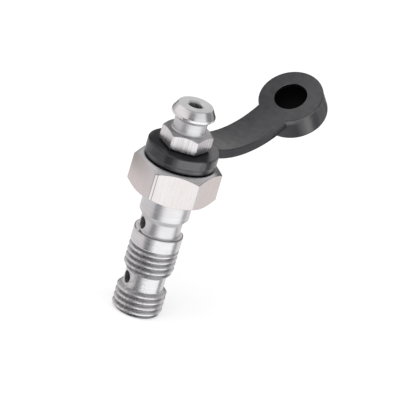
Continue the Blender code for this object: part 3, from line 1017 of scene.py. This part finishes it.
def bolt_stains_and_shade(shader, here, height, from_axis, up):
    """How much darker and duller the bolt is: dirt and painted shade in its threads, painted shade under the
    ring, at its tip and towards one corner of the head, tool lines on the head, and darker edges.
    """
    # The thread's grooves are darker: partly dirt, partly painted shade where the groove's walls hide each
    # other.
    grooves = from_axis.step(GROOVE_RADIUS + 0.00004, GROOVE_RADIUS + 0.00016)
    grooves = grooves - from_axis.step(THREAD_RADIUS - 0.0004, THREAD_RADIUS - 0.00005)
    grooves = grooves * (1 - height.step(LAND_BOTTOM, LAND_BOTTOM + 0.0002))
    land_edge = height.band(NECK_BOTTOM - 0.0002, NECK_BOTTOM + 0.0002, 0.00008)
    land_edge = land_edge * from_axis.step(THREAD_RADIUS - 0.00035, THREAD_RADIUS - 0.0001)
    # A tool has left two fine lines along one edge of one flat of the head.
    across = shader.towards(here, LINED_FLAT_ANGLE + math.pi / 2)
    lines = across.band(-0.00395, -0.0038, 0.00005) + across.band(-0.00455, -0.0044, 0.00005) * 0.5
    lines = lines * shader.towards(here, LINED_FLAT_ANGLE).step(0.0074, 0.0077)
    # Painted shade darkens the head towards one of its corners.
    corner = shader.towards(here, SHADED_CORNER_ANGLE).step(0.0055, 0.0095)
    corner = corner * height.step(HEAD_BOTTOM + 0.001, HEAD_TOP - 0.0005)
    # Dark specks lie in the threads on one side.
    specks = shader.noise(here, THREAD_SPECKS, 2.0).step(0.45, 0.62)
    specks = specks * (1 - height.step(LAND_BOTTOM - 0.0005, LAND_BOTTOM))
    specks = specks * shader.towards(here, SPECKED_SIDE).step(0.0026, 0.0042)
    specks = specks * from_axis.step(GROOVE_RADIUS - 0.0001, GROOVE_RADIUS)
    # Painted shade: the crown under the dust cap's ring and the end of the tip are darker and duller all
    # over.
    crown = height.step(CROWN_TOP - 0.00008, CROWN_TOP - 0.00002)
    tip = 1 - height.step(TIP_CHAMFER * 0.5, TIP_CHAMFER)
    # The outer edge of the head's upper chamfer is darker and duller as well, on four of its sides, where it
    # faces up.
    rim = 0
    for k in range(3, 7):
        flat = HEAD_CORNER_ANGLE + math.radians(30 + 60 * k)
        rim = shader.towards(here, flat).step(0.0076, 0.0078) + rim
    rim = rim * up.step(0.3, 0.6)
    along_edges = grooves * 0.28 + land_edge * 0.6
    on_head = lines * 0.55 + corner * 0.42
    return along_edges + on_head + (specks + crown + tip) * 0.3 + rim * 0.22


def screw_top_shade(shader, here, height, from_axis, up):
    """Painted shade on the bleed screw, darker and duller: on the upper face of its hexagon under the neck,
    and more of it on one side.
    """
    top = height.band(SCREW_HEX_TOP - 0.0004, SCREW_HEX_TOP + 0.0004, 0.0001)
    # One side of the face gets more painted shade.
    side_shade = shader.towards(here, SCREW_SHADE_SIDE).step(0.0, 0.004)
    return top * up.step(0.6, 0.9) * (side_shade * 0.36 + 0.26)


def steel_material(name, finish, stains_and_shade, zones, flat_from, roughness, streaking, tinting, inner):
    """Bright turned steel: rings on the turned faces, drawn streaks on the hexagon's flats.

    Each zone is a range of heights with what it adds to the roughness. A hexagon's flats lie further
    from the axis than flat_from, and streaking and tinting say how strong their streaks and their
    warm tint are. The steel nearer to the axis than the inner radius is the wall of a bore, which is dull
    and darkened by half as painted shade.
    """
    material = bpy.data.materials.new(name)
    shader = Shader(material)
    place = shader.node("ShaderNodeTexCoord").outputs
    here = place["Object"]
    _, _, height = shader.split(here)
    _, _, up = shader.split(place["Normal"])
    sideways = 1 - (up * up).step(0.02, 0.2)
    from_axis = shader.length(shader.scaled(here, (1, 1, 0)))
    on_flat = sideways * from_axis.step(flat_from + 0.0003, flat_from + 0.0006)
    turned_face = 1 - on_flat
    in_bore = 1 - from_axis.step(inner - 0.00015, inner)
    rings = shader.noise(here, RING_MARKS, 3.0)
    fine_rings = shader.noise(here, FINE_RING_MARKS, 1.0)
    streaks = shader.noise(here, DRAWN_STREAKS, 3.0)
    patches = shader.noise(here, STEEL_PATCHES, 2.0)
    marks = (rings * 0.6 + fine_rings * 0.4) * turned_face + streaks * on_flat
    # The flat with the tool's lines is less warm than the others.
    cooler_flat = shader.towards(here, LINED_FLAT_ANGLE).step(0.0035, 0.0078) * 0.45
    warm = (patches.step(0.42, 0.66) * 0.3 + on_flat * (1 - cooler_flat)) * tinting
    tinted = shader.mix_colours(warm, tuple(finish.colour), tuple(finish.tint))
    # The bore's wall is darkened by half as painted shade.
    stained_and_shaded = stains_and_shade(shader, here, height, from_axis, up) + in_bore * 0.5
    drawn = (streaks - 0.39) * on_flat * streaking + (rings - 0.5) * turned_face * 0.4
    gloss = (marks - 0.5) * 0.22 + (patches - 0.5) * 0.12 + stained_and_shaded * 0.3 + in_bore * 0.2 + roughness
    for bottom, top, change in zones:
        gloss = gloss + height.band(bottom, top, 0.0001) * change
    relief = marks * (on_flat * streaking * 0.2 + 1)
    surface = shader.principled(
        {
            "Base Color": shader.dimmed(tinted, 1 - stained_and_shaded + drawn),
            "Metallic": 1.0,
            "Roughness": gloss,
            "Normal": shader.bump(relief, finish.mark_depth),
        }
    )
    shader.output(surface)
    return material


def rubber_material(finish):
    """Moulded black rubber: a glossy skin with a faint bloom, which is matt and darker in places: in smears
    where it has been handled, in blotches on its upper faces, and as painted shade on the ring's top, at the
    ring's foot, in one strip of its wall and beside the strap.

    The pocket of the cap is painted plain black as shade, because hardly any light gets in.
    """
    material = bpy.data.materials.new("moulded_rubber")
    shader = Shader(material)
    place = shader.node("ShaderNodeTexCoord").outputs
    here = place["Object"]
    along, across, height = shader.split(here)
    _, _, up = shader.split(place["Normal"])
    from_axis = shader.length(shader.scaled(here, (1, 1, 0)))
    from_cap, above_mouth = shader.round_axis(here, cap_middle(), cap_direction())
    cap_bottom = -full_cap_height()
    in_cap = above_mouth.step(cap_bottom + 0.0004, cap_bottom + 0.0006)
    in_cap = in_cap * (1 - above_mouth.step(-0.0006, -0.0001)) * (1 - from_cap.step(0.0048, 0.0052))
    # The ring's top is matt and darker round the bleed screw, as painted shade of the screw's hexagon, and
    # less so at its rim and on two sides.
    ring_top = height.step(RING_TOP - 0.0003, RING_TOP - 0.00015)
    ring_top = ring_top * (1 - from_axis.step(0.0063, 0.0072) * 0.2)
    ring_top = ring_top * (1 - along.step(strap_start() - 0.00015, strap_start() + 0.00005))
    ring_top = ring_top * up.step(0.75, 0.95)
    for side, near, far, share in PALE_RING_SIDES:
        ring_top = ring_top * (1 - shader.dot(here, side).step(near, far) * share)
    # The ring's wall is matt and darker at its foot, as painted shade where it meets the head, and in smears
    # where it has been handled.
    foot = 1 - height.step(RING_BOTTOM + 0.0001, RING_BOTTOM + 0.001)
    handled_and_shaded = shader.towards(here, HANDLED_SIDE).step(0.0042, 0.0073) * 0.5
    # A narrow strip of painted shade runs down the wall on one side.
    shade_strip = shader.towards(here, SHADED_STRIP_SIDE).step(0.00705, 0.00725) * 0.35
    handled_and_shaded = handled_and_shaded + shade_strip + (shader.noise(here, RUBBER_SMEARS, 2.0) - 0.55) * 0.9
    on_ring = 1 - from_axis.step(RING_RADIUS + 0.0001, RING_RADIUS + 0.0003)
    ring_wall = (foot + (1 - foot) * handled_and_shaded) * on_ring
    # The cap's wall is matt and darker beside the strap, as painted shade where the strap meets it.
    outward = Vector((math.cos(STRAP_END_ANGLE), 0, math.sin(STRAP_END_ANGLE)))
    past_cap = shader.dot(here, outward) - outward.dot(cap_middle())
    by_strap = (1 - above_mouth.step(-0.0014, -0.0006)) * along.step(0.0175, 0.0195)
    by_strap = by_strap * (1 - past_cap.step(-0.0044, -0.0028)) * 0.68
    # The upper faces of strap and cap are matt in blotches, and more so on one half.
    upper_matt = across.step(-0.004, 0.005) * 0.34 + (1 - along.step(0.026, 0.030)) * 0.1 + 0.08
    upper_matt = upper_matt + (shader.noise(here, RUBBER_BLOTCHES, 3.0) - 0.5) * 0.55
    upper_matt = upper_matt * along.step(0.0068, 0.0088) * up.step(0.5, 0.8)
    clouds = shader.noise(here, RUBBER_CLOUDS, 3.0)
    grain = shader.noise(here, RUBBER_GRAIN, 2.0)
    bloom = clouds.step(0.35, 0.7) * 0.6 + grain * 0.3
    bump = shader.bump(grain + clouds * 4, RUBBER_BUMP)
    glossy = shader.principled(
        {
            "Base Color": shader.mix_colours(bloom, tuple(finish.colour), tuple(finish.bloom)),
            "Roughness": finish.roughness + (clouds - 0.5) * 0.16 + (grain - 0.5) * 0.05,
            "IOR": 1.66,
            "Specular IOR Level": 1.0,
            "Normal": bump,
        }
    )
    matt = shader.principled(
        {
            "Base Color": tuple(finish.matt_and_shade_colour),
            "Roughness": 0.6,
            "Specular IOR Level": 0.2,
            "Normal": bump,
        }
    )
    unlit = shader.node("ShaderNodeBsdfDiffuse", {}, {"Color": POCKET_SHADE_COLOUR}).outputs[0]
    skin_surface = shader.mix_surfaces(ring_top + (ring_wall + by_strap + upper_matt), glossy, matt)
    shader.output(shader.mix_surfaces(in_cap, skin_surface, unlit))
    return material


FLOOR_HALF_WIDTH = 6.0
FLOOR_COLOUR = (0.8, 0.8, 0.8)
FLOOR_GLOW = 0.43


def floor_material():
    """A matt floor that looks a little paler to the camera, and lights nothing by it."""
    material = bpy.data.materials.new("pale_floor")
    shader = Shader(material)
    seen = shader.node("ShaderNodeLightPath").outputs["Is Camera Ray"]
    surface = shader.principled(
        {
            "Base Color": FLOOR_COLOUR,
            "Roughness": 0.9,
            "Specular IOR Level": 0.0,
            "Emission Color": shader.mix_colours(seen, (0, 0, 0), (1, 1, 1)),
            "Emission Strength": FLOOR_GLOW,
        }
    )
    shader.output(surface)
    material.cycles.emission_sampling = "NONE"
    return material


CARD_DISTANCE = 0.6
CARD_STEPS = 16

# Cards round the object: azimuths from the camera's own direction, elevations, colour.
CARDS = {
    "below": ((-180, 180), (-88, -74), (1.05, 1.05, 1.06)),
    "lowest": ((-180, 180), (-74, -58), (0.95, 0.95, 0.96)),
    "low": ((-180, 180), (-58, -36), (0.70, 0.70, 0.71)),
    "front_panel": ((-3, 93), (-36, 10), (1.23, 1.23, 1.23)),
    "left_soft": ((-18, -3), (-36, 10), (0.62, 0.62, 0.63)),
    "left_gap": ((-46, -18), (-36, 10), (0.20, 0.20, 0.22)),
    "left_wing": ((-168, -46), (-36, -13), (0.80, 0.775, 0.78)),
    "left_horizon": ((-145, -46), (-13, 10), (0.50, 0.49, 0.49)),
    "right_gap": ((93, 116), (-36, 10), (0.31, 0.31, 0.33)),
    "right_wing": ((116, 168), (-36, -13), (0.87, 0.84, 0.84)),
    "back_gap": ((168, 192), (-36, -13), (0.25, 0.25, 0.26)),
    "right_horizon": ((116, 145), (-13, 10), (0.40, 0.39, 0.39)),
    "back_horizon": ((145, 215), (-13, 10), (0.20, 0.20, 0.20)),
    "camera": ((-20, 16), (10, 42), (0.12, 0.12, 0.13)),
    "left_high": ((-115, -20), (10, 42), (1.02, 0.97, 0.97)),
    "left_back": ((-145, -115), (10, 42), (0.75, 0.73, 0.73)),
    "front_high": ((16, 82), (10, 42), (1.00, 1.00, 1.00)),
    "right_back": ((82, 126), (10, 42), (0.26, 0.26, 0.27)),
    "right_far": ((126, 145), (10, 42), (0.70, 0.68, 0.68)),
    "behind": ((145, 215), (10, 42), (0.72, 0.71, 0.71)),
    "upper_left": ((-180, -70), (42, 66), (0.75, 0.73, 0.73)),
    "upper": ((-70, 180), (42, 66), (0.52, 0.51, 0.51)),
    "ceiling": ((-180, 180), (66, 90), (0.52, 0.51, 0.51)),
}


def direction(azimuth, elevation):
    """Unit vector towards an azimuth and an elevation."""
    level = math.cos(elevation)
    return Vector((math.cos(azimuth) * level, math.sin(azimuth) * level, math.sin(elevation)))


def glossy_only(obj):
    """Hides a card from all but reflections."""
    for kind in ("camera", "diffuse", "shadow", "transmission", "volume_scatter"):
        setattr(obj, f"visible_{kind}", False)


def make_card(name, azimuths, elevations, colour):
    """A curved card round the object, between two azimuths and two elevations, in degrees."""
    shape = bmesh.new()
    rows = []
    for k in range(CARD_STEPS + 1):
        azimuth = math.radians(azimuths[0] + (azimuths[1] - azimuths[0]) * k / CARD_STEPS)
        row = []
        for j in range(CARD_STEPS + 1):
            elevation = math.radians(elevations[0] + (elevations[1] - elevations[0]) * j / CARD_STEPS)
            row.append(shape.verts.new(direction(azimuth, elevation) * CARD_DISTANCE))
        rows.append(row)
    for row, following in zip(rows, rows[1:]):
        for k in range(CARD_STEPS):
            shape.faces.new((row[k], row[k + 1], following[k + 1], following[k]))
    card = object_from(name, shape)
    card.location = bolt_axis()
    material = bpy.data.materials.new(name)
    shader = Shader(material)
    glow = shader.node("ShaderNodeEmission", {}, {"Color": colour, "Strength": 1.0})
    shader.output(glow.outputs[0])
    material.cycles.emission_sampling = "NONE"
    card.data.materials.append(material)
    glossy_only(card)


def make_cards(studio):
    """The cards, turned with the camera's own direction at rest."""
    towards_camera = math.degrees(studio.azimuth) - 90
    for name, (azimuths, elevations, colour) in CARDS.items():
        turned_azimuths = [towards_camera + a for a in azimuths]
        make_card(name, turned_azimuths, elevations, colour)


def make_floor():
    """A plain pale floor, which reflections don't see."""
    shape = bmesh.new()
    bmesh.ops.create_grid(shape, x_segments=1, y_segments=1, size=FLOOR_HALF_WIDTH)
    floor = object_from("floor", shape)
    floor.data.materials.append(floor_material())
    floor.visible_glossy = False


# Lamps: azimuth from the camera's own direction and elevation, in degrees, distance, size, power.
LAMPS = {
    "key": (-30, 62, 1.0, 0.9, 3.4),
    "fill": (80, 40, 1.2, 0.9, 1.6),
}


def make_lamp(name, azimuth, elevation, distance, size, power):
    """A soft square lamp aimed at the middle of the bolt. Reflections see the cards instead."""
    data = bpy.data.lights.new(name, "AREA")
    data.size = size
    data.energy = power
    lamp = new_object(name, data)
    out = direction(azimuth, elevation)
    lamp.location = bolt_axis() + Vector((0, 0, HEAD_TOP / 2)) + out * distance
    lamp.rotation_euler = out.to_track_quat("Z", "Y").to_euler()
    lamp.visible_glossy = False


def make_lamps(studio):
    """The soft lamps that light the rubber and cast the shadow on the floor."""
    towards_camera = studio.azimuth - math.pi / 2
    for name, (azimuth, elevation, distance, size, power) in LAMPS.items():
        azimuth = towards_camera + math.radians(azimuth)
        make_lamp(name, azimuth, math.radians(elevation), distance, size, power)


def make_world(studio):
    """White for the camera and for reflections, and an even, plain light for everything else."""
    world = bpy.data.worlds.new("studio")
    bpy.context.scene.world = world
    shader = Shader(world)
    path = shader.node("ShaderNodeLightPath").outputs
    seen = Signal(shader, path["Is Camera Ray"]) + Signal(shader, path["Is Glossy Ray"])
    seen = seen + Signal(shader, path["Is Transmission Ray"])
    strength = seen.step(0.0, 1.0) * (1 - studio.ambient) + studio.ambient
    background = shader.node("ShaderNodeBackground", {}, {"Color": (1, 1, 1), "Strength": strength})
    shader.output(background.outputs[0], "ShaderNodeOutputWorld")


# Where the middle of the bolt's tip lies in the picture, and the picture's scale.
PICTURE_SIZE = 400
TIP_IN_PICTURE = (135.6, 308.4)
PIXELS_PER_METRE = 5050


def make_camera(studio):
    """A camera so far away that it sees nearly parallel, with the bolt's tip in its place in the picture."""
    right = direction(studio.azimuth, 0)
    back = direction(studio.azimuth - math.pi / 2, studio.elevation)
    up = back.cross(right)
    picture_right = right * math.cos(studio.roll) + up * math.sin(studio.roll)
    picture_up = up * math.cos(studio.roll) - right * math.sin(studio.roll)
    to_right = (PICTURE_SIZE / 2 - TIP_IN_PICTURE[0]) / PIXELS_PER_METRE
    to_top = (TIP_IN_PICTURE[1] - PICTURE_SIZE / 2) / PIXELS_PER_METRE
    middle = bolt_axis() + picture_right * to_right + picture_up * to_top
    data = bpy.data.cameras.new("camera")
    data.lens = studio.lens
    distance = PICTURE_SIZE / PIXELS_PER_METRE * studio.lens / data.sensor_width
    data.clip_start = distance / 100
    data.clip_end = distance * 10
    camera = new_object("camera", data)
    turn = Matrix((picture_right, picture_up, back)).transposed()
    camera.matrix_world = Matrix.Translation(middle + back * distance) @ turn.to_4x4()
    bpy.context.scene.camera = camera


class BOLT_OT_banjo_bolt(Operator):
    """Build the banjo bolt with its threads, hexagon head and drillings"""

    bl_idname = "banjo.build_bolt"
    bl_label = "Banjo Bolt"

    def execute(self, context):
        scene = context.scene
        finish = scene.steel_finish
        bolt = make_bolt(scene.bolt_sizes)
        zones = (
            (NECK_BOTTOM, HEAD_BOTTOM, 0.06),
            (NECK_TOP - 0.0002, SHANK_BOTTOM, 0.30),
        )
        steel = steel_material(
            "turned_steel",
            finish,
            bolt_stains_and_shade,
            zones,
            flat_from=SHANK_RADIUS,
            roughness=finish.roughness,
            streaking=0.0,
            tinting=1.0,
            inner=GROOVE_RADIUS - 0.0001,
        )
        dress(bolt, steel, "banjo_bolt", "banjo_bolt")
        return {"FINISHED"}


class BOLT_OT_bleed_screw(Operator):
    """Build the bleed screw with its hexagon and hose nipple"""

    bl_idname = "banjo.build_bleed_screw"
    bl_label = "Bleed Screw"

    def execute(self, context):
        scene = context.scene
        finish = scene.steel_finish
        screw = make_bleed_screw(scene.bolt_sizes)
        zones = (
            (SCREW_HEX_BOTTOM, SCREW_HEX_TOP, -0.03),
            (SCREW_HEX_TOP, BARB_BOTTOM, 0.08),
            (BARB_BOTTOM, BARB_CONE_START, -0.10),
            (BARB_CONE_START, NIPPLE_TOP + 0.001, -0.08),
        )
        steel = steel_material(
            "satin_steel",
            finish,
            screw_top_shade,
            zones,
            flat_from=NIPPLE_NECK_RADIUS,
            roughness=finish.satin_roughness,
            streaking=1.1,
            tinting=0.3,
            inner=SCREW_BORE_RADIUS + 0.0002,
        )
        dress(screw, steel, "bleed_screw", "bleed_screw")
        return {"FINISHED"}


class BOLT_OT_dust_cap(Operator):
    """Build the rubber dust cap with its ring and strap"""

    bl_idname = "banjo.build_dust_cap"
    bl_label = "Dust Cap"

    def execute(self, context):
        scene = context.scene
        rubber = make_dust_cap(scene.bolt_sizes.columns)
        finish = rubber_material(scene.rubber_finish)
        dress(rubber, finish, "dust_cap", "dust_cap")
        return {"FINISHED"}


class BOLT_OT_studio(Operator):
    """Set up the floor, the light and the camera"""

    bl_idname = "banjo.build_studio"
    bl_label = "Studio"

    def execute(self, context):
        studio = context.scene.studio_setup
        make_floor()
        make_cards(studio)
        make_lamps(studio)
        make_world(studio)
        make_camera(studio)
        context.scene.view_settings.view_transform = "Standard"
        return {"FINISHED"}


class BOLT_PT_panel(Panel):
    """Buttons and sizes of the banjo bolt"""

    bl_label = "Banjo Bleed Bolt"
    bl_idname = "BOLT_PT_panel"
    bl_space_type = "VIEW_3D"
    bl_region_type = "UI"
    bl_category = "Bolt"

    def draw(self, context):
        for owner in ("bolt_sizes", "steel_finish", "rubber_finish", "studio_setup"):
            group = getattr(context.scene, owner)
            box = self.layout.box()
            for name in group.__annotations__:
                box.prop(group, name)
        for operator in OPERATORS:
            self.layout.operator(operator.bl_idname)


PROPERTY_GROUPS = {
    "bolt_sizes": BoltSizes,
    "steel_finish": SteelFinish,
    "rubber_finish": RubberFinish,
    "studio_setup": StudioSetup,
}
OPERATORS = (BOLT_OT_banjo_bolt, BOLT_OT_bleed_screw, BOLT_OT_dust_cap, BOLT_OT_studio)


def register():
    for cls in (*PROPERTY_GROUPS.values(), *OPERATORS, BOLT_PT_panel):
        bpy.utils.register_class(cls)
    for name, group in PROPERTY_GROUPS.items():
        setattr(bpy.types.Scene, name, PointerProperty(type=group))


def unregister():
    for name in PROPERTY_GROUPS:
        delattr(bpy.types.Scene, name)
    for cls in reversed((*PROPERTY_GROUPS.values(), *OPERATORS, BOLT_PT_panel)):
        bpy.utils.unregister_class(cls)


def main():
    """Builds the pieces and the stage."""
    register()
    bpy.ops.banjo.build_bolt()
    bpy.ops.banjo.build_bleed_screw()
    bpy.ops.banjo.build_dust_cap()
    bpy.ops.banjo.build_studio()


if __name__ == "__main__":
    main()
